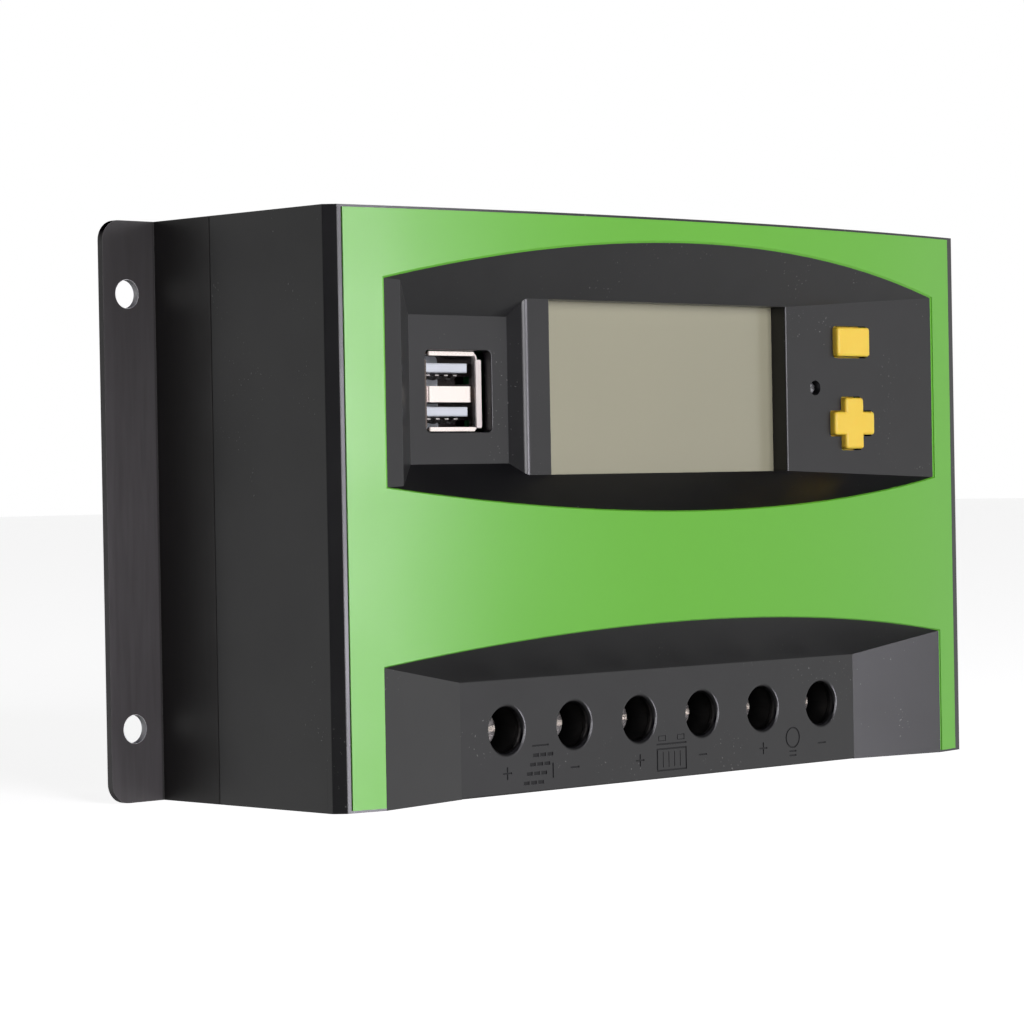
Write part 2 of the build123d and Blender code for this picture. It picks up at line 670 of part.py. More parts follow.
def lip(inner, outer, length, middle, turned):
    """A flat strip at the mouth of the shell, to the right of it or, turned, above it."""
    with BuildPart() as strip:
        with BuildSketch(facing(LIP_DEPTH)):
            with Locations(((inner + outer) / 2, middle)):
                RectangleRounded(outer - inner, length, radius=0.3)
        extrude(amount=-USB_SHEET - 0.05)
    return strip.part.rotate(Axis.Y, -90) if turned else strip.part


side_lip = lip(*SIDE_LIP, 13.3, -0.45, False)
top_lip = lip(*TOP_LIP, 12.4, 0, True)
lips = [side_lip, mirror(side_lip, about=Plane.YZ), top_lip, mirror(top_lip, about=Plane.XY)]

with BuildPart() as usb_shell:
    with BuildSketch(facing(SHELL_DEPTH)):
        with Locations((USB_X, USB_Z)):
            RectangleRounded(*USB_SHELL, radius=1.5)
            RectangleRounded(*INNER, radius=1.5 - USB_SHEET, mode=Mode.SUBTRACT)
    extrude(amount=-(SHELL_END - SHELL_DEPTH))
    # Partition between the two mouths, folded from sheet, with a rounded nose.
    with BuildSketch(facing(LIP_DEPTH + NOSE)):
        with Locations((USB_X, PARTITION_Z)):
            Rectangle(INNER[0] + 0.3, PARTITION)
    extrude(amount=-9)
    with BuildSketch(Plane.XY.offset(PARTITION_Z - PARTITION / 2)):
        with Locations((USB_X - NOSE_SHIFT, at(LIP_DEPTH + NOSE + 0.1))):
            RectangleRounded(INNER[0] - 2 * NOSE_SHIFT, 2 * NOSE, radius=0.9)
    extrude(amount=PARTITION)
    with BuildSketch(facing(LIP_DEPTH + 0.5)):
        with Locations((USB_X, PARTITION_Z)):
            Rectangle(INNER[0] - 3.0, PARTITION - 2 * USB_SHEET)
    extrude(amount=-12, mode=Mode.SUBTRACT)
    # Openings for the friction springs in both side walls.
    with BuildSketch(Plane.YZ.offset(USB_X - USB_SHELL[0])):
        with Locations(*[(at(9.6), z - 2.35) for z in TONGUE_Z]):
            Rectangle(4.2, 1.5)
    extrude(amount=2 * USB_SHELL[0], mode=Mode.SUBTRACT)
    for piece in lips:
        add(Location((USB_X, 0, USB_Z)) * piece)
usb_shell.part.label = "usb_shell"
export_step(usb_shell.part, "parts/usb_shell.step")

# Each contact runs along the tongue's underside and bends down into a spring near its tip.
with BuildPart() as usb_contacts:
    with BuildSketch(facing(15.0)):
        for z in TONGUE_Z:
            with Locations((USB_X, z - TONGUE[1] / 2)):
                with GridLocations(CONTACT_PITCH, 1, 4, 1):
                    Rectangle(CONTACT_WIDTH, 0.35)
    extrude(amount=-(USB_BOARD_DEPTH - 15.0))
    for number in range(4):
        left = USB_X + CONTACT_PITCH * (number - 1.5) - CONTACT_WIDTH / 2
        with BuildSketch(Plane.YZ.offset(left)):
            for z in TONGUE_Z:
                under = z - TONGUE[1] / 2
                with BuildLine():
                    Polyline(
                        (at(15.2), under - 0.175),
                        (at(9.0), under - 1.35),
                        (at(7.9), under - 0.55),
                        (at(7.9), under - 0.3),
                        (at(9.0), under - 1.1),
                        (at(15.2), under + 0.175),
                        close=True,
                    )
                make_face()
        extrude(amount=CONTACT_WIDTH)
usb_contacts.part.label = "usb_contacts"
export_step(usb_contacts.part, "parts/usb_contacts.step")

with BuildPart() as usb_insulator:
    with BuildSketch(facing(TONGUE_DEPTH)):
        with Locations(*[(USB_X, z) for z in TONGUE_Z]):
            Rectangle(*TONGUE)
    extrude(amount=-(INSULATOR_DEPTH - TONGUE_DEPTH + 0.5))
    tip_edges = usb_insulator.edges().filter_by(lambda edge: abs(edge.center().Y - at(TONGUE_DEPTH)) < NEAR)
    fillet(tip_edges, radius=0.4)
    with BuildSketch(facing(INSULATOR_DEPTH)):
        with Locations((USB_X, USB_Z)):
            RectangleRounded(INNER[0] - 0.1, INNER[1] - 0.1, radius=1.0)
    extrude(amount=-(USB_BOARD_DEPTH - INSULATOR_DEPTH))
    add(usb_contacts.part, mode=Mode.SUBTRACT)
usb_insulator.part.label = "usb_insulator"
export_step(usb_insulator.part, "parts/usb_insulator.step")

with BuildPart() as usb_board:
    with BuildSketch(facing(USB_BOARD_DEPTH)):
        with Locations((-60.0, 22.3)):
            RectangleRounded(26, 34, radius=1)
        with Locations(*usb_posts):
            Circle(1.3, mode=Mode.SUBTRACT)
    extrude(amount=-BOARD)
usb_board.part.label = "usb_board"
export_step(usb_board.part, "parts/usb_board.step")

usb_screws = small_screws(usb_posts, USB_BOARD_DEPTH + BOARD, 1.0, 6.5, 2.0, 1.5)
usb_screws.part.label = "usb_screws"
export_step(usb_screws.part, "parts/usb_screws.step")

with BuildPart() as usb_link:
    with BuildSketch(facing(USB_BOARD_DEPTH + BOARD)):
        with Locations((-60.0, 12.0)):
            Rectangle(10.2, 2.5)
    extrude(amount=-(MAIN_BOARD_DEPTH - USB_BOARD_DEPTH - BOARD))
usb_link.part.label = "usb_link"
export_step(usb_link.part, "parts/usb_link.step")

# ---------------------------------------------------------------- main board and what stands on it
with BuildPart() as main_board:
    with BuildSketch(facing(MAIN_BOARD_DEPTH)):
        with Locations((0, 9.5)):
            RectangleRounded(164, 83, radius=2)
        with Locations(*standoff_spots):
            Circle(M3_CLEAR_R, mode=Mode.SUBTRACT)
        with Locations(*[(x, MOSFET_SCREW_Z) for x in mosfet_x]):
            Circle(3.3, mode=Mode.SUBTRACT)
    extrude(amount=-BOARD)
main_board.part.label = "main_board"
export_step(main_board.part, "parts/main_board.step")

with BuildPart() as board_standoffs:
    with BuildSketch(facing(MAIN_BOARD_DEPTH + BOARD)):
        with Locations(*standoff_spots):
            RegularPolygon(radius=3.2, side_count=6)
            Circle(M3_HOLE_R, mode=Mode.SUBTRACT)
    extrude(amount=-(SEAM_DEPTH - MAIN_BOARD_DEPTH - BOARD))
board_standoffs.part.label = "board_standoffs"
export_step(board_standoffs.part, "parts/board_standoffs.step")

board_screws = small_screws(standoff_spots, MAIN_BOARD_DEPTH, M3_R, 6.5, 2.8, 2.2, towards=-1)
board_screws.part.label = "board_screws"
export_step(board_screws.part, "parts/board_screws.step")

housing_screws = small_screws(side_screws, SEAM_DEPTH + SHEET, M3_R, 13, 2.9, 2.2)
housing_screws.part.label = "housing_screws"
export_step(housing_screws.part, "parts/housing_screws.step")

PAD = 0.4
TAB = 1.3
MOSFET = 4.5
with BuildPart() as thermal_pad:
    with BuildSketch(facing(SEAM_DEPTH - PAD)):
        with Locations((0, MOSFET_Z)):
            Rectangle(148, 19)
        with Locations(*[(x, MOSFET_SCREW_Z) for x in mosfet_x]):
            Circle(M3_CLEAR_R, mode=Mode.SUBTRACT)
    extrude(amount=-PAD)
thermal_pad.part.label = "thermal_pad"
export_step(thermal_pad.part, "parts/thermal_pad.step")

tab_depth = SEAM_DEPTH - PAD - TAB
mosfet_depth = SEAM_DEPTH - PAD - MOSFET
with BuildPart() as mosfets:
    with BuildSketch(facing(tab_depth)):
        with Locations(*[(x, MOSFET_Z + 1.5) for x in mosfet_x]):
            Rectangle(10.2, 15.0)
        with Locations(*[(x, MOSFET_SCREW_Z) for x in mosfet_x]):
            Circle(1.9, mode=Mode.SUBTRACT)
    extrude(amount=-TAB)
    with BuildSketch(facing(mosfet_depth)):
        with Locations(*[(x, MOSFET_Z - 1.5) for x in mosfet_x]):
            Rectangle(10.2, 9.0)
    extrude(amount=-(MOSFET - 0.1))
    # Three leads on each, bent forward to the board.
    for x in mosfet_x:
        with BuildSketch(facing(mosfet_depth + 1.9)):
            with Locations((x, MOSFET_Z - 8.0)):
                with GridLocations(2.54, 1, 3, 1):
                    Rectangle(0.9, 4.4)
        extrude(amount=-0.5)
        with BuildSketch(facing(MAIN_BOARD_DEPTH + BOARD)):
            with Locations((x, MOSFET_Z - 9.95)):
                with GridLocations(2.54, 1, 3, 1):
                    Rectangle(0.9, 0.5)
        extrude(amount=-(mosfet_depth + 2.4 - MAIN_BOARD_DEPTH - BOARD))
mosfets.part.label = "mosfets"
export_step(mosfets.part, "parts/mosfets.step")

mosfet_screw_spots = [(x, MOSFET_SCREW_Z) for x in mosfet_x]
mosfet_screws = small_screws(mosfet_screw_spots, tab_depth, M3_R, 3.0, 2.8, 1.8, towards=-1)
mosfet_screws.part.label = "mosfet_screws"
export_step(mosfet_screws.part, "parts/mosfet_screws.step")

CAPACITOR_R = 8.0
CAPACITOR_LENGTH = 25.0
with BuildPart() as bulk_capacitors:
    with BuildSketch(facing(MAIN_BOARD_DEPTH)):
        with Locations(*[(x, -13.0) for x in (-60.0, -41.0, -22.0)]):
            Circle(CAPACITOR_R)
    extrude(amount=CAPACITOR_LENGTH)
    tops = bulk_capacitors.edges().filter_by(GeomType.CIRCLE).group_by(Axis.Y)[0]
    fillet(tops, radius=0.8)
bulk_capacitors.part.label = "bulk_capacitors"
export_step(bulk_capacitors.part, "parts/bulk_capacitors.step")

fuse_x = (4.0, 16.0)
with BuildPart() as fuse_holders:
    with BuildSketch(main_front):
        with Locations(*[(x, -13.0) for x in fuse_x]):
            Rectangle(6.5, 20)
    extrude(amount=9)
    with BuildSketch(main_front.offset(9)):
        with Locations(*[(x, -13.0) for x in fuse_x]):
            Rectangle(1.2, 16)
    extrude(amount=-7, mode=Mode.SUBTRACT)
fuse_holders.part.label = "fuse_holders"
export_step(fuse_holders.part, "parts/fuse_holders.step")

with BuildPart() as fuses:
    with BuildSketch(main_front.offset(9.1)):
        with Locations(*[(x, -13.0) for x in fuse_x]):
            Rectangle(5.0, 18.5)
    extrude(amount=9)
    with BuildSketch(main_front.offset(9.1)):
        for x in fuse_x:
            with Locations((x, -13.0)):
                with GridLocations(1, 9.5, 1, 2):
                    Rectangle(0.7, 5.2)
    extrude(amount=-6.5)
fuses.part.label = "fuses"
export_step(fuses.part, "parts/fuses.step")

with BuildPart() as current_shunts:
    for x in (31.0, 39.0):
        with BuildSketch(Plane.YZ.offset(x)):
            with Locations((at(MAIN_BOARD_DEPTH - 4.5), -14.0)):
                Rectangle(9.0, 16.0)
                with Locations((1.0, 0)):
                    Rectangle(9.0, 12.8, mode=Mode.SUBTRACT)
        extrude(amount=3.0)
current_shunts.part.label = "current_shunts"
export_step(current_shunts.part, "parts/current_shunts.step")

microcontroller = flat_chip(main_front, [(-8.0, 34.0)], 12, 1.5, 12, 0.8, True)
microcontroller.part.label = "microcontroller"
export_step(microcontroller.part, "parts/microcontroller.step")

driver_spots = [(x, 26.0) for x in (-68.0, -50.0, 48.0, 64.0)]
gate_drivers = flat_chip(main_front, driver_spots, 5, 1.4, 4, 1.27, False)
gate_drivers.part.label = "gate_drivers"
export_step(gate_drivers.part, "parts/gate_drivers.step")

with BuildPart() as buck_inductor:
    with BuildSketch(main_front):
        with Locations((-30.0, 34.0)):
            RectangleRounded(12, 12, radius=2)
    extrude(amount=2)
    with BuildSketch(main_front.offset(2)):
        with Locations((-30.0, 34.0)):
            Circle(4.6)
    extrude(amount=4)
    with BuildSketch(main_front.offset(6)):
        with Locations((-30.0, 34.0)):
            Circle(5.8)
    extrude(amount=1.5)
buck_inductor.part.label = "buck_inductor"
export_step(buck_inductor.part, "parts/buck_inductor.step")

with BuildPart() as display_link:
    link_length = MAIN_BOARD_DEPTH - DISPLAY_BOARD_DEPTH - BOARD
    for depth in (DISPLAY_BOARD_DEPTH + BOARD, MAIN_BOARD_DEPTH - 2.5):
        with BuildSketch(facing(depth)):
            with Locations((24.0, 8.0)):
                Rectangle(20.4, 5.0)
        extrude(amount=-2.5)
    with BuildSketch(facing(DISPLAY_BOARD_DEPTH + BOARD)):
        with Locations((24.0, 8.0)):
            with GridLocations(2.54, 2.54, 8, 2):
                Rectangle(0.64, 0.64)
    extrude(amount=-link_length)
display_link.part.label = "display_link"
export_step(display_link.part, "parts/display_link.step")

# ---------------------------------------------------------------- terminals
HEAD_DEPTH = 9.8
HEAD = 2.4
HEAD_R = 3.4
SHANK_R = 2.0
TIP_DEPTH = 21.0
THREAD_R = 2.06
SHOULDER = 1.2
CAVITY_DEPTH = HEAD_DEPTH + HEAD + 0.2 + SHOULDER
CAGE_DEPTH = 18.7
CAGE = (11.2, 13.0, 9.0)
CAGE_END = 1.5
CAGE_SIDE = 1.3
BAR_DEPTH = 21.2
BAR = 1.5
BAR_WIDTH = 7.6
BLOCK_TOP = -36.0
BLOCK_BOTTOM = BOTTOM + WALL + 0.2
BLOCK_DEPTH = FACE_DEPTH + SKIN + 0.3
BLOCK_BACK = 34.2

with BuildPart() as terminal_bars:
    for x in WAY_X:
        with BuildSketch(Plane.YZ.offset(x - BAR_WIDTH / 2)):
            with BuildLine():
                Polyline(
                    (at(BAR_DEPTH), ROW_Z - CAGE[2] / 2),
                    (at(BAR_DEPTH + BAR), ROW_Z - CAGE[2] / 2),
                    (at(BAR_DEPTH + BAR), -29.5),
                    (at(MAIN_BOARD_DEPTH), -29.5),
                    (at(MAIN_BOARD_DEPTH), -28.0),
                    (at(BAR_DEPTH), -28.0),
                    close=True,
                )
            make_face()
        extrude(amount=BAR_WIDTH)
terminal_bars.part.label = "terminal_bars"
export_step(terminal_bars.part, "parts/terminal_bars.step")

with BuildPart() as terminal_block:
    with BuildSketch(facing(BLOCK_DEPTH)):
        with Locations((ROW_X, (BLOCK_TOP + BLOCK_BOTTOM) / 2)):
            Rectangle(WAYS * PITCH + 1, BLOCK_TOP - BLOCK_BOTTOM)
    extrude(amount=-(BLOCK_BACK - BLOCK_DEPTH))
    with BuildSketch(facing(BLOCK_DEPTH)):
        with Locations(*[(x, ROW_Z) for x in WAY_X]):
            Circle(ACCESS_R + 0.2)
    extrude(amount=-(HEAD_DEPTH + HEAD + 0.2 - BLOCK_DEPTH), mode=Mode.SUBTRACT)
    with BuildSketch(facing(BLOCK_DEPTH)):
        with Locations(*[(x, ROW_Z) for x in WAY_X]):
            Circle(SHANK_R + 0.4)
    extrude(amount=-(CAVITY_DEPTH - BLOCK_DEPTH + 1), mode=Mode.SUBTRACT)
    with BuildSketch(facing(CAVITY_DEPTH)):
        with Locations(*[(x, ROW_Z) for x in WAY_X]):
            Rectangle(CAGE[0] + 0.6, CAGE[2] + 0.6)
    extrude(amount=-(CAGE_DEPTH + CAGE[1] + 0.3 - CAVITY_DEPTH), mode=Mode.SUBTRACT)
    with BuildSketch(Plane.XY.offset(BLOCK_BOTTOM - 1)):
        with Locations(*[(x, at(CABLE_DEPTH)) for x in WAY_X]):
            Rectangle(8.4, 2 * CABLE_R)
    extrude(amount=ROW_Z - BLOCK_BOTTOM, mode=Mode.SUBTRACT)
    add(terminal_bars.part, mode=Mode.SUBTRACT)
    # Shallow grooves between the ways, over the top and the front.
    with BuildSketch(facing(BLOCK_DEPTH)):
        with Locations(*[(x + PITCH / 2, (BLOCK_TOP + BLOCK_BOTTOM) / 2) for x in WAY_X[:-1]]):
            Rectangle(0.8, BLOCK_TOP - BLOCK_BOTTOM)
    extrude(amount=-0.8, mode=Mode.SUBTRACT)
terminal_block.part.label = "terminal_block"
export_step(terminal_block.part, "parts/terminal_block.step")

for way, x in enumerate(WAY_X, start=1):
    with BuildPart() as screw:
        with BuildSketch(facing(HEAD_DEPTH)):
            with Locations((x, ROW_Z)):
                Circle(HEAD_R)
        extrude(amount=-HEAD)
        chamfer(screw.edges().filter_by(GeomType.CIRCLE).sort_by(Axis.Y)[0], length=0.4)
        with BuildSketch(facing(HEAD_DEPTH)):
            with Locations((x, ROW_Z)):
                Rectangle(6.0, 1.1)
                Rectangle(1.1, 4.2)
        extrude(amount=-1.3, mode=Mode.SUBTRACT)
        with BuildSketch(facing(HEAD_DEPTH + HEAD)):
            with Locations((x, ROW_Z)):
                Circle(SHANK_R)
        extrude(amount=-(TIP_DEPTH - HEAD_DEPTH - HEAD))
    screw.part.label = f"terminal_screw_{way}"
    export_step(screw.part, f"parts/terminal_screw_{way}.step")

for way, x in enumerate(WAY_X, start=1):
    with BuildPart() as cage:
        with BuildSketch(facing(CAGE_DEPTH)):
            with Locations((x, ROW_Z)):
                Rectangle(CAGE[0], CAGE[2])
        extrude(amount=-CAGE[1])
        fillet(cage.edges().filter_by(Axis.Z), radius=0.8)
        with BuildSketch(Plane.XY.offset(ROW_Z - CAGE[2] / 2)):
            with Locations((x, at(CAGE_DEPTH + CAGE[1] / 2))):
                Rectangle(CAGE[0] - 2 * CAGE_SIDE, CAGE[1] - 2 * CAGE_END)
        extrude(amount=CAGE[2], mode=Mode.SUBTRACT)
        with BuildSketch(facing(CAGE_DEPTH)):
            with Locations((x, ROW_Z)):
                Circle(THREAD_R)
        extrude(amount=-CAGE_END, mode=Mode.SUBTRACT)
    cage.part.label = f"terminal_cage_{way}"
    export_step(cage.part, f"parts/terminal_cage_{way}.step")
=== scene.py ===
import bpy, bmesh, json, math
from mathutils import Matrix, Vector


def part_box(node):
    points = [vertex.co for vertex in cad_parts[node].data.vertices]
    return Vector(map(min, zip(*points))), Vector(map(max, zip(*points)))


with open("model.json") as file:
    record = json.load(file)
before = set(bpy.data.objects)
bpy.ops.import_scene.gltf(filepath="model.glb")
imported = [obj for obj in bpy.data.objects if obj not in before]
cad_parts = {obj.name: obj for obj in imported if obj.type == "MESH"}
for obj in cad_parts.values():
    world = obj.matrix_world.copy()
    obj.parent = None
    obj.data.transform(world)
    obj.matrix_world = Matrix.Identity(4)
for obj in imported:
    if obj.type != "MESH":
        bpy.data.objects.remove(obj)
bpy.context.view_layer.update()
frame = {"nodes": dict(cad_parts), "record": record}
NODES = frame["nodes"]

# ---------------------------------------------------------------- places, in metres
CASE_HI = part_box("housing_shell")[1]
PAN_LO, PAN_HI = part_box("rear_pan")
SOCKET_LO, SOCKET_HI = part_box("usb_shell")
FLOOR_Z = PAN_LO.z
FRONT_Y = -0.054  # the front edges of the side walls
WALL_HOLE = (0.09975, 0.0426)  # how far the wall holes are from the middle, across and up
WALL_HOLE_R = 0.0028
FACE_Y = FRONT_Y + 0.0033  # the face with the terminal holes
FACE_TOP = -0.0343
FACE_HALF = 0.0585
MARKS_Y = FACE_Y + 0.00012  # the bottom of the engraving in that face
MARKS_TOP = -0.047
BORES_Y = FACE_Y + 0.0009  # behind the rounded rims of the terminal holes; deeper than this the bores are painted dark as painted shade
BORES_TOP = FACE_TOP - 0.0004
SOCKET_Y = FRONT_Y + 0.0056  # the shell is bright in front of this and painted dark behind it as painted shade
SOCKET_STRIP = 0.002  # width of the strip at the left of the shell that is painted dark as painted shade
SOCKET_LIP = 0.0018  # width of the lip at its right that is made matt and pale as a painted reflection
BLUR = 0.0004  # width over which one finish changes into the next


# ---------------------------------------------------------------- small tools
def new_object(name, data):
    """Adds an object with that mesh, light or camera to the scene."""
    piece = bpy.data.objects.new(name, data)
    bpy.context.scene.collection.objects.link(piece)
    return piece


def set_material(piece, material):
    """Gives the piece that one material."""
    piece.data.materials.clear()
    piece.data.materials.append(material)


# ---------------------------------------------------------------- materials
class Paint:
    """A node material that is built up in a few calls."""

    def __init__(self, name, colour, roughness, metallic=0.0, ior=1.5, specular=0.5):
        self.material = bpy.data.materials.new(name)
        self.material.use_nodes = True
        self.nodes = self.material.node_tree.nodes
        self.links = self.material.node_tree.links
        self.shader = self.nodes["Principled BSDF"]
        self.shader.inputs["Base Color"].default_value = (*colour, 1)
        self.shader.inputs["Roughness"].default_value = roughness
        self.shader.inputs["Metallic"].default_value = metallic
        self.shader.inputs["IOR"].default_value = ior
        self.shader.inputs["Specular IOR Level"].default_value = specular
        self.place = self.nodes.new("ShaderNodeTexCoord").outputs["Object"]
        self.normal = None

    def noise(self, scale, detail=3.0, stretch=(1, 1, 1)):
        """A noise value over the object, with that many features for each metre."""
        mapping = self.nodes.new("ShaderNodeMapping")
        mapping.inputs["Scale"].default_value = stretch
        self.links.new(self.place, mapping.inputs["Vector"])
        texture = self.nodes.new("ShaderNodeTexNoise")
        texture.inputs["Scale"].default_value = scale
        texture.inputs["Detail"].default_value = detail
        self.links.new(mapping.outputs["Vector"], texture.inputs["Vector"])
        return texture.outputs["Fac"]

    def compute(self, operation, *values):
        """The result of that operation on values, each a number or another node's output."""
        node = self.nodes.new("ShaderNodeMath")
        node.operation = operation
        for socket, value in zip(node.inputs, values):
            if isinstance(value, float):
                socket.default_value = value
            else:
                self.links.new(value, socket)
        return node.outputs["Value"]

    def axis(self, name):
        """The place along X, Y or Z."""
        split = self.nodes.new("ShaderNodeSeparateXYZ")
        self.links.new(self.place, split.inputs["Vector"])
        return split.outputs[name]

    def from_middle(self, name):
        """The distance along X, Y or Z from the middle."""
        return self.compute("ABSOLUTE", self.axis(name))

    def from_hole(self, x, z):
        """Distance from the axis of the holes at x, z to both sides, above and below."""
        join = self.nodes.new("ShaderNodeCombineXYZ")
        for name, middle in (("X", x), ("Z", z)):
            self.links.new(self.compute("SUBTRACT", self.from_middle(name), middle), join.inputs[name])
        length = self.nodes.new("ShaderNodeVectorMath")
        length.operation = "LENGTH"
        self.links.new(join.outputs["Vector"], length.inputs[0])
        return length.outputs["Value"]

    def spread(self, value, low, high, edge0=0.3, edge1=0.7):
        """Maps the value from edge0..edge1 to low..high."""
        mapped = self.nodes.new("ShaderNodeMapRange")
        mapped.inputs["From Min"].default_value = edge0
        mapped.inputs["From Max"].default_value = edge1
        mapped.inputs["To Min"].default_value = low
        mapped.inputs["To Max"].default_value = high
        self.links.new(value, mapped.inputs["Value"])
        return mapped.outputs["Result"]

    def above(self, value, edge, blur=BLUR):
        """0 up to the edge and 1 beyond it."""
        return self.spread(value, 0.0, 1.0, edge, edge + blur)

    def below(self, value, edge, blur=BLUR):
        """1 up to the edge and 0 beyond it."""
        return self.spread(value, 1.0, 0.0, edge, edge + blur)

    def both(self, value, other):
        """The product of two values, so it is high only where both are."""
        return self.compute("MULTIPLY", value, other)

    def larger(self, value, other):
        """The larger of two values, so it is high where either is."""
        return self.compute("MAXIMUM", value, other)

    def vary_colour(self, value, other):
        """Mixes the colour with another one by the value."""
        mix = self.nodes.new("ShaderNodeMix")
        mix.data_type = "RGBA"
        mix.inputs["B"].default_value = (*other, 1)
        base = self.shader.inputs["Base Color"]
        if base.is_linked:
            self.links.new(base.links[0].from_socket, mix.inputs["A"])
        else:
            mix.inputs["A"].default_value = base.default_value
        self.links.new(value, mix.inputs["Factor"])
        self.links.new(mix.outputs["Result"], base)

    def vary_roughness(self, value, low, high):
        self.links.new(self.spread(value, low, high), self.shader.inputs["Roughness"])

    def dull(self, value, level):
        """Lowers the reflection to that level where the value is high."""
        self.links.new(self.spread(value, 0.5, level), self.shader.inputs["Specular IOR Level"])

    def bump(self, value, height, strength=1.0):
        """Raises the surface by up to height metres where the value is high."""
        node = self.nodes.new("ShaderNodeBump")
        node.inputs["Strength"].default_value = strength
        node.inputs["Distance"].default_value = height
        self.links.new(value, node.inputs["Height"])
        if self.normal is not None:
            self.links.new(self.normal, node.inputs["Normal"])
        self.normal = node.outputs["Normal"]
        self.links.new(self.normal, self.shader.inputs["Normal"])

    def lighten_edges(self, radius, colour, amount):
        """Lightens the colour along sharp edges."""
        bevel = self.nodes.new("ShaderNodeBevel")
        bevel.inputs["Radius"].default_value = radius
        bevel.samples = 4
        geometry = self.nodes.new("ShaderNodeNewGeometry")
        dot = self.nodes.new("ShaderNodeVectorMath")
        dot.operation = "DOT_PRODUCT"
        self.links.new(bevel.outputs["Normal"], dot.inputs[0])
        self.links.new(geometry.outputs["Normal"], dot.inputs[1])
        lightening = self.spread(dot.outputs["Value"], amount, 0.0, 0.85, 1.0)
        self.vary_colour(lightening, colour)


def grained_plastic(name, colour, roughness, grain=6000, height=0.000012, specular=0.5):
    """Moulded plastic with a fine spark-eroded grain and faint blotches in its gloss."""
    paint = Paint(name, colour, roughness, specular=specular)
    cloud = paint.noise(45, 4)
    paint.vary_roughness(cloud, roughness - 0.05, roughness + 0.06)
    paint.vary_colour(paint.spread(paint.noise(160, 3), 0.0, 0.35), tuple(c * 1.35 for c in colour))
    paint.bump(paint.noise(grain, 2), height, 0.5)
    return paint.material


def brushed_metal(name, colour, roughness, stretch=(1, 1, 14)):
    """Metal with fine scratches along one direction."""
    paint = Paint(name, colour, roughness, metallic=1.0)
    scratches = paint.noise(2500, 2, stretch)
    paint.vary_roughness(scratches, roughness - 0.06, roughness + 0.12)
    paint.vary_colour(paint.spread(paint.noise(300, 3), 0.0, 0.4), tuple(c * 0.75 for c in colour))
    paint.bump(scratches, 0.000004, 0.5)
    return paint.material


def case_plastic():
    """Black moulded case: satin grain, specks of dust, dark marks, painted shade in the bores and painted
    highlights along the sharp edges.
    """
    paint = Paint("case_plastic", (0.0055, 0.0053, 0.0062), 0.31)
    paint.vary_roughness(paint.noise(45, 4), 0.28, 0.35)
    paint.vary_colour(paint.spread(paint.noise(160, 3), 0.0, 0.35), (0.0115, 0.0113, 0.012))
    dust = paint.both(
        paint.spread(paint.noise(2300, 0), 0.0, 1.0, 0.8, 0.83),
        paint.spread(paint.noise(70, 1), 0.0, 0.6, 0.55, 0.62),
    )
    paint.vary_colour(dust, (0.2, 0.2, 0.19))
    fine = 0.00002
    engraved = paint.both(
        paint.above(paint.axis("Y"), MARKS_Y - 0.00003, fine),
        paint.below(paint.axis("Y"), MARKS_Y + 0.00001, fine),
    )
    low = paint.below(paint.axis("Z"), MARKS_TOP, 0.0001)
    # Painted shade: the bores of the terminal holes are painted near black and kept from reflecting, where
    # shade falls.
    bores = paint.both(
        paint.above(paint.axis("Y"), BORES_Y, 0.0007),
        paint.both(
            paint.below(paint.axis("Z"), BORES_TOP, 0.0001),
            paint.below(paint.from_middle("X"), FACE_HALF - 0.001, 0.001),
        ),
    )
    paint.vary_colour(bores, (0.002, 0.002, 0.002))
    marks = paint.spread(paint.both(engraved, low), 0.0, 0.55)
    paint.dull(paint.larger(marks, bores), 0.05)
    paint.bump(paint.noise(6000, 2), 0.000012, 0.5)
    # Painted highlight: the sharp edges are lightened as if their rounding caught the light.
    paint.lighten_edges(0.00025, (0.03, 0.03, 0.032), 0.5)
    return paint.material


def pan_coating():
    """Satin black coating on folded aluminium: brownish and streaked, with painted light on the flange
    that fades towards its top, and bare where the wall holes are cut, the cut walls painted white as a
    painted reflection.
    """
    paint = Paint("pan_coating", (0.02, 0.0185, 0.018), 0.46)
    paint.vary_roughness(paint.noise(60, 4), 0.4, 0.54)
    # Painted light: the flange, which faces the front, is painted lighter than the shaded side walls of
    # the pan, less so towards its top.
    flange = paint.both(
        paint.above(paint.from_middle("X"), CASE_HI.x + 0.0002),
        paint.spread(paint.axis("Z"), 1.0, 0.35, 0.0, PAN_HI.z),
    )
    paint.vary_colour(flange, (0.092, 0.085, 0.088))
    streaks = paint.noise(900, 4, (1, 1, 0.08))
    paint.vary_colour(paint.spread(streaks, 0.0, 0.3), (0.03, 0.026, 0.025))
    paint.bump(paint.noise(3000, 3), 0.00001, 0.4)
    paint.lighten_edges(0.0003, (0.16, 0.155, 0.15), 0.6)
    # Bare cut aluminium in the wall holes, painted diffuse white as a painted reflection of its bright cut
    # faces.
    cut = paint.below(paint.from_hole(*WALL_HOLE), WALL_HOLE_R + 0.00002, 0.00008)
    paint.vary_colour(cut, (0.9, 0.9, 0.9))
    return paint.material


def green_film():
    """Printed green film: a hardly visible orange-peel under a satin gloss."""
    paint = Paint("green_film", (0.13, 0.48, 0.026), 0.31)
    paint.vary_roughness(paint.noise(30, 3), 0.29, 0.33)
    paint.vary_colour(paint.spread(paint.noise(25, 3), 0.0, 0.25), (0.145, 0.5, 0.036))
    paint.bump(paint.noise(700, 2), 0.000006, 0.5)
    return paint.material


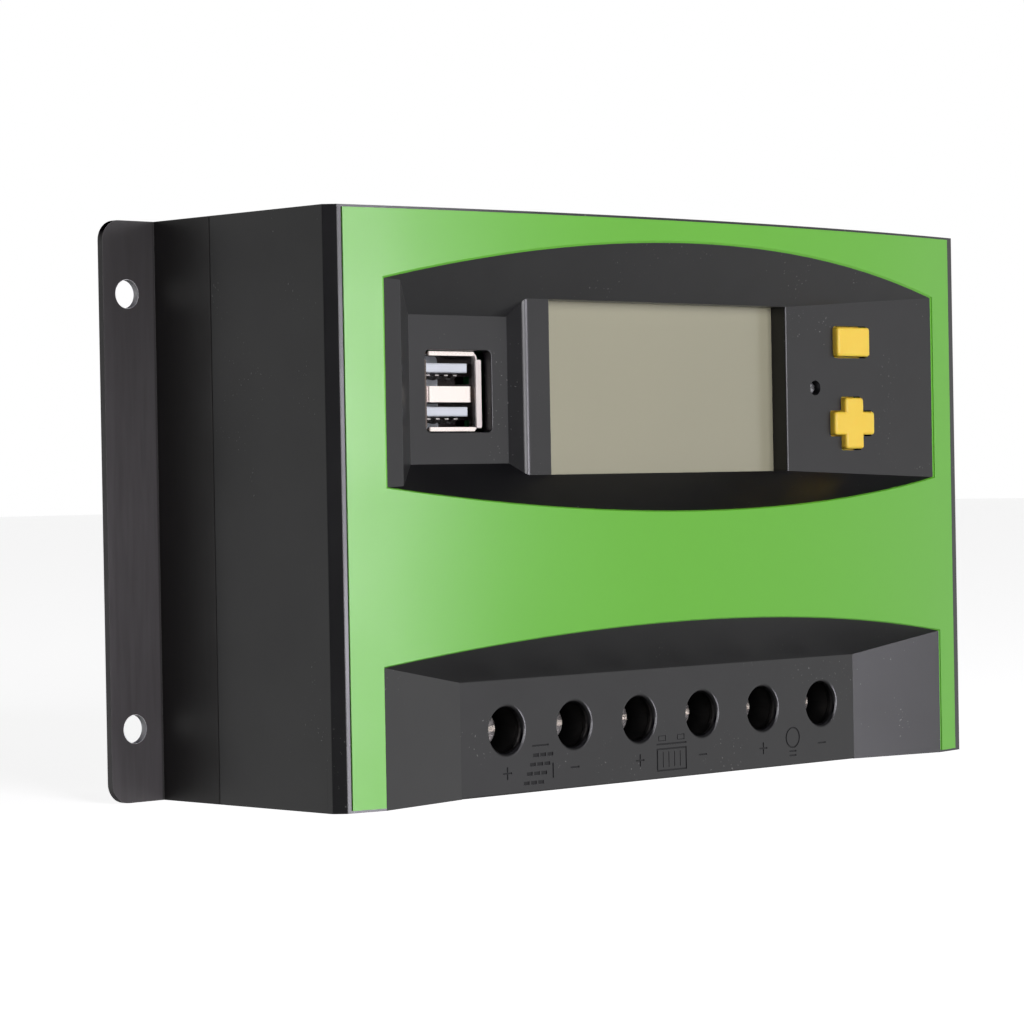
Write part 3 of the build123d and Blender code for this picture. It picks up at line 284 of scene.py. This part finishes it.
def display_glass():
    """Grey-green face of a reflective display under a matt polariser."""
    paint = Paint("display_glass", (0.36, 0.345, 0.24), 0.22)
    paint.vary_colour(paint.spread(paint.noise(14, 2), 0.0, 0.4), (0.32, 0.31, 0.22))
    paint.vary_roughness(paint.noise(90, 3), 0.19, 0.25)
    paint.bump(paint.noise(9000, 1), 0.000003, 0.4)
    return paint.material


def button_plastic():
    """Yellow plastic that lets a little light in."""
    paint = Paint("button_yellow", (0.98, 0.66, 0.06), 0.42)
    paint.vary_roughness(paint.noise(350, 3), 0.36, 0.48)
    paint.vary_colour(paint.spread(paint.noise(220, 3), 0.0, 0.35), (0.99, 0.72, 0.1))
    paint.shader.inputs["Subsurface Weight"].default_value = 0.15
    paint.shader.inputs["Subsurface Radius"].default_value = (0.6, 0.3, 0.05)
    paint.shader.inputs["Subsurface Scale"].default_value = 0.0012
    paint.bump(paint.noise(5000, 2), 0.000008, 0.4)
    return paint.material


def board_material():
    """Green solder mask with lighter tracks in a rough grid under it."""
    paint = Paint("circuit_board", (0.01, 0.09, 0.03), 0.25)
    tracks = paint.spread(paint.noise(420, 0, (1, 1, 0.15)), 0.0, 0.7, 0.48, 0.52)
    paint.vary_colour(tracks, (0.03, 0.2, 0.07))
    paint.bump(tracks, 0.00003, 0.6)
    return paint.material


def smoked_lens():
    """Dark lamp lens that catches small glints, with lighter specks painted in as painted glints."""
    paint = Paint("led_lens", (0.07, 0.07, 0.072), 0.1, ior=1.55)
    paint.vary_roughness(paint.noise(800, 2), 0.06, 0.16)
    # Painted glints: lighter specks mixed into the lens colour.
    paint.vary_colour(paint.spread(paint.noise(1500, 1), 0.0, 0.8, 0.5, 0.6), (0.3, 0.3, 0.3))
    paint.bump(paint.noise(1400, 1), 0.00006, 0.6)
    return paint.material


def socket_shell():
    """Nickel-plated shell: bright at the mouth, made matt and pale on its right lip as a painted
    reflection, and painted dark brownish as painted shade further in and on a strip at its left.
    """
    paint = Paint("socket_shell", (0.88, 0.8, 0.75), 0.24, metallic=1.0)
    scratches = paint.noise(2500, 2, (1, 1, 14))
    paint.vary_roughness(scratches, 0.2, 0.36)
    # Painted shade: the shell is painted dark brownish inside and on a strip at its left, where shade
    # falls.
    inside = paint.above(paint.axis("Y"), SOCKET_Y - 0.0001, 0.0013)
    left_wall = paint.below(paint.axis("X"), SOCKET_LO.x + SOCKET_STRIP)
    paint.vary_colour(paint.larger(inside, left_wall), (0.12, 0.1, 0.09))
    # Painted reflection: the right lip is made matt, so its pale colour lights up in place of a bright
    # reflection; elsewhere the shell stays metal.
    metal = paint.larger(inside, paint.below(paint.axis("X"), SOCKET_HI.x - SOCKET_LIP))
    paint.links.new(metal, paint.shader.inputs["Metallic"])
    paint.bump(scratches, 0.000004, 0.5)
    return paint.material


# The material of each slot named in the record. The contacts are plated grey, not gold.
SLOT_MATERIAL = {
    "pan_metal": pan_coating(),
    "housing_plastic": case_plastic(),
    "plate_green": green_film(),
    "lcd_glass": display_glass(),
    "light_guide": grained_plastic("light_guide", (0.7, 0.74, 0.72), 0.3, 2000),
    "elastomer": grained_plastic("elastomer", (0.12, 0.125, 0.13), 0.7, 3000),
    "white_plastic": grained_plastic("white_plastic", (0.55, 0.55, 0.53), 0.45),
    "circuit_board": board_material(),
    "zinc_steel": brushed_metal("zinc_steel", (0.55, 0.55, 0.57), 0.3),
    "chip_plastic": grained_plastic("chip_plastic", (0.012, 0.012, 0.013), 0.55, 9000),
    "led_lens": smoked_lens(),
    "button_yellow": button_plastic(),
    "nickel_steel": brushed_metal("nickel_steel", (0.98, 0.93, 0.88), 0.26),
    "gold_contact": brushed_metal("plated_contact", (0.42, 0.4, 0.38), 0.34),
    "tongue_plastic": grained_plastic("tongue_plastic", (0.62, 0.65, 0.69), 0.35, 8000),
    "brass_part": brushed_metal("brass_part", (0.72, 0.55, 0.25), 0.28),
    "capacitor_sleeve": grained_plastic("capacitor_sleeve", (0.01, 0.012, 0.03), 0.2, 1500),
    "fuse_plastic": grained_plastic("fuse_plastic", (0.04, 0.3, 0.06), 0.18, 1500),
    "copper_bar": brushed_metal("copper_bar", (0.75, 0.6, 0.5), 0.3),
    "ferrite": grained_plastic("ferrite", (0.03, 0.028, 0.026), 0.6, 2500),
    "terminal_plastic": grained_plastic("terminal_plastic", (0.003, 0.003, 0.003), 0.5, specular=0.1),
    "cage_steel": brushed_metal("cage_steel", (0.62, 0.62, 0.64), 0.3),
}
for entry in frame["record"]["subparts"]:
    set_material(NODES[entry["node"]], SLOT_MATERIAL[entry["material_slot"]])
# The shell has the same slot as the plated screws, but a finish of its own.
set_material(NODES["usb_shell"], socket_shell())

# ---------------------------------------------------------------- stage, lights and camera
FLOOR_SIZE = 12.0
FLOOR_GAP = 0.0002  # keeps the floor from touching the case


def camera_ray(nodes):
    """1 for what the camera sees directly, 0 for bounces and reflections."""
    return nodes.new("ShaderNodeLightPath").outputs["Is Camera Ray"]


def make_floor():
    """A pale floor, overexposed to white but for the faint shadow under the case."""
    mesh = bpy.data.meshes.new("floor")
    shape = bmesh.new()
    bmesh.ops.create_grid(shape, x_segments=8, y_segments=8, size=FLOOR_SIZE / 2)
    shape.to_mesh(mesh)
    shape.free()
    floor = new_object("floor", mesh)
    floor.location.z = FLOOR_Z - FLOOR_GAP
    floor.visible_glossy = False
    paint = Paint("floor_paint", (0.82, 0.82, 0.82), 0.8)
    paint.shader.inputs["Specular IOR Level"].default_value = 0.1
    paint.vary_colour(paint.spread(paint.noise(9, 3), 0.0, 0.3), (0.8, 0.8, 0.805))
    paint.shader.inputs["Emission Color"].default_value = (1, 1, 1, 1)
    glow = paint.spread(camera_ray(paint.nodes), 0.0, 1.0, 0.0, 1.0)
    paint.links.new(glow, paint.shader.inputs["Emission Strength"])
    set_material(floor, paint.material)


# Area lights: name, place, width and height, radiance in W/sr/m2, colour.
SOFT_BOXES = (
    # A tall box in front and a little to the right washes out the left third of the green front.
    ("key", (0.37, -1.45, -0.30), (0.38, 1.05), 19, (1, 0.97, 1.08)),
    # A box left of the front lights the left flange and the fronts, and is mirrored in none of the fronts.
    ("left_front", (-0.40, -1.25, 0.2), (0.5, 0.8), 10, (1, 0.985, 1.03)),
)


def soft_box(name, place, size, radiance, colour):
    """A rectangular area light at place, turned towards the middle of the case."""
    light = bpy.data.lights.new(name, "AREA")
    light.shape = "RECTANGLE"
    light.size, light.size_y = size
    light.energy = radiance * math.pi * size[0] * size[1]
    light.color = colour
    lamp = new_object(name, light)
    lamp.location = place
    lamp.rotation_mode = "QUATERNION"
    lamp.rotation_quaternion = (-Vector(place)).to_track_quat("-Z", "Y")
    lamp.visible_camera = False


# The studio round the object, in lobes: direction, the cosines at which a lobe starts and is full,
# and the brightness that it adds to the base. A negative one darkens that side.
STUDIO_BASE = 0.5
STUDIO_LOBES = (
    ((0.80, -0.60, 0.0), 0.35, 0.9, 0.56),
    ((-0.69, -0.72, 0.1), 0.55, 0.97, -0.35),
    ((-0.75, 0.66, 0.0), 0.5, 0.95, 0.30),
    ((0.0, 0.0, 1.0), 0.04, 0.4, -0.72),
    ((0.0, 0.0, -1.0), -0.08, 0.1, 0.05),
    ((0.0, 0.0, -1.0), 0.2, 0.7, -0.35),
)


def make_world():
    """White to the camera, and to everything else a pale studio, brightest on the right."""
    world = bpy.data.worlds.new("studio")
    world.use_nodes = True
    nodes, links = world.node_tree.nodes, world.node_tree.links
    direction = nodes.new("ShaderNodeTexCoord").outputs["Generated"]
    total = None
    for toward, start, full, brightness in STUDIO_LOBES:
        dot = nodes.new("ShaderNodeVectorMath")
        dot.operation = "DOT_PRODUCT"
        links.new(direction, dot.inputs[0])
        dot.inputs[1].default_value = Vector(toward).normalized()
        lobe = nodes.new("ShaderNodeMapRange")
        lobe.interpolation_type = "SMOOTHSTEP"
        lobe.inputs["From Min"].default_value = start
        lobe.inputs["From Max"].default_value = full
        lobe.inputs["To Max"].default_value = brightness
        links.new(dot.outputs["Value"], lobe.inputs["Value"])
        add = nodes.new("ShaderNodeMath")
        add.inputs[0].default_value = STUDIO_BASE
        if total is not None:
            links.new(total, add.inputs[0])
        links.new(lobe.outputs["Result"], add.inputs[1])
        total = add.outputs["Value"]
    mix = nodes.new("ShaderNodeMix")
    links.new(camera_ray(nodes), mix.inputs["Factor"])
    links.new(total, mix.inputs["A"])
    mix.inputs["B"].default_value = 1.0
    links.new(mix.outputs["Result"], nodes["Background"].inputs["Strength"])
    nodes["Background"].inputs["Color"].default_value = (1, 1, 1, 1)
    bpy.context.scene.world = world


CAMERA_PLACE = (-0.5190, -0.5425, 0.0047)
CAMERA_YAW = 44.03  # degrees to the right of straight at the front
CAMERA_PITCH = -0.513
CAMERA_ROLL = -1.028
CAMERA_LENS = 122.16
SENSOR = 36


def make_camera():
    """A long-lens camera to the left of the front, level with the middle of the case."""
    camera = new_object("camera", bpy.data.cameras.new("camera"))
    camera.data.lens = CAMERA_LENS
    camera.data.sensor_width = SENSOR
    camera.data.clip_start, camera.data.clip_end = 0.01, 50
    turn = Matrix.Rotation(math.radians(-CAMERA_YAW), 4, "Z")
    tilt = Matrix.Rotation(math.radians(90 + CAMERA_PITCH), 4, "X")
    roll = Matrix.Rotation(math.radians(CAMERA_ROLL), 4, "Z")
    camera.matrix_world = Matrix.Translation(CAMERA_PLACE) @ turn @ tilt @ roll
    bpy.context.scene.camera = camera


make_floor()
make_world()
make_camera()
for box in SOFT_BOXES:
    soft_box(*box)
bpy.context.scene.view_settings.view_transform = "Standard"
